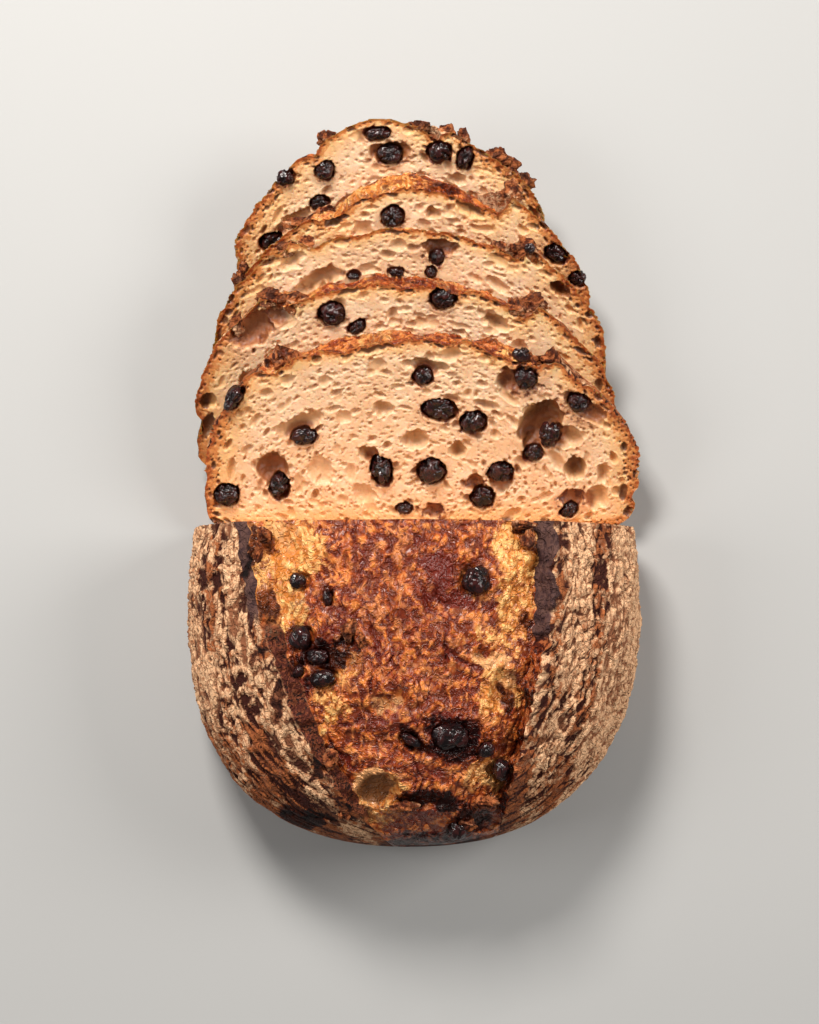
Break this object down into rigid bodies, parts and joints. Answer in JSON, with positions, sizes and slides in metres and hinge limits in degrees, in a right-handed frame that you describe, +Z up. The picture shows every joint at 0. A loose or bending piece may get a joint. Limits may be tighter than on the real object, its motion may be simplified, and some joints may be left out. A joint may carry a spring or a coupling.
{
  "type": "sourdough loaf",
  "caption": "Part-sliced raisin sourdough loaf: a whole half with scored, burst crust beside slices and an end piece that lean back on each other.",
  "frame": {"origin": "middle of the bounding box at table height", "axes": "+Z up, +Y from the whole half towards the slices and the end piece, +X across the loaf"},
  "size_m": [0.1556, 0.2444, 0.0766],
  "materials": {
    "crust": "baked crust, glossy where it burst, floured at the sides",
    "crumb": "open, moist crumb with a thin baked crust around it",
    "raisin": "dark, wrinkled and slightly sticky"
  },
  "bodies": {
    "root": {"half_loaf": "crust", "raisin_half_01": "raisin", "raisin_half_02": "raisin", "raisin_half_03": "raisin", "raisin_half_04": "raisin", "raisin_half_05": "raisin", "raisin_half_06": "raisin", "raisin_half_07": "raisin", "raisin_half_08": "raisin", "raisin_half_09": "raisin", "raisin_half_10": "raisin", "raisin_half_11": "raisin", "raisin_half_12": "raisin", "slice_1": "crumb", "raisin_slice1_01": "raisin", "raisin_slice1_02": "raisin", "raisin_slice1_03": "raisin", "raisin_slice1_04": "raisin", "raisin_slice1_05": "raisin", "raisin_slice1_06": "raisin", "raisin_slice1_07": "raisin", "raisin_slice1_08": "raisin", "raisin_slice1_09": "raisin", "raisin_slice1_10": "raisin", "raisin_slice1_11": "raisin", "raisin_slice1_12": "raisin", "raisin_slice1_13": "raisin", "raisin_slice1_14": "raisin", "raisin_slice1_15": "raisin", "raisin_slice1_16": "raisin", "raisin_slice1_17": "raisin", "raisin_slice1_18": "raisin", "slice_2": "crumb", "raisin_slice2_01": "raisin", "raisin_slice2_02": "raisin", "raisin_slice2_03": "raisin", "slice_3": "crumb", "raisin_slice3_01": "raisin", "raisin_slice3_02": "raisin", "raisin_slice3_03": "raisin", "raisin_slice3_04": "raisin", "raisin_slice3_05": "raisin", "slice_4": "crumb", "raisin_slice4_01": "raisin", "raisin_slice4_02": "raisin", "raisin_slice4_03": "raisin", "end_piece": "crumb", "raisin_end_01": "raisin", "raisin_end_02": "raisin", "raisin_end_03": "raisin", "raisin_end_04": "raisin", "raisin_end_05": "raisin", "raisin_end_06": "raisin", "raisin_end_07": "raisin", "raisin_end_08": "raisin"}
  },
  "joints": []
}
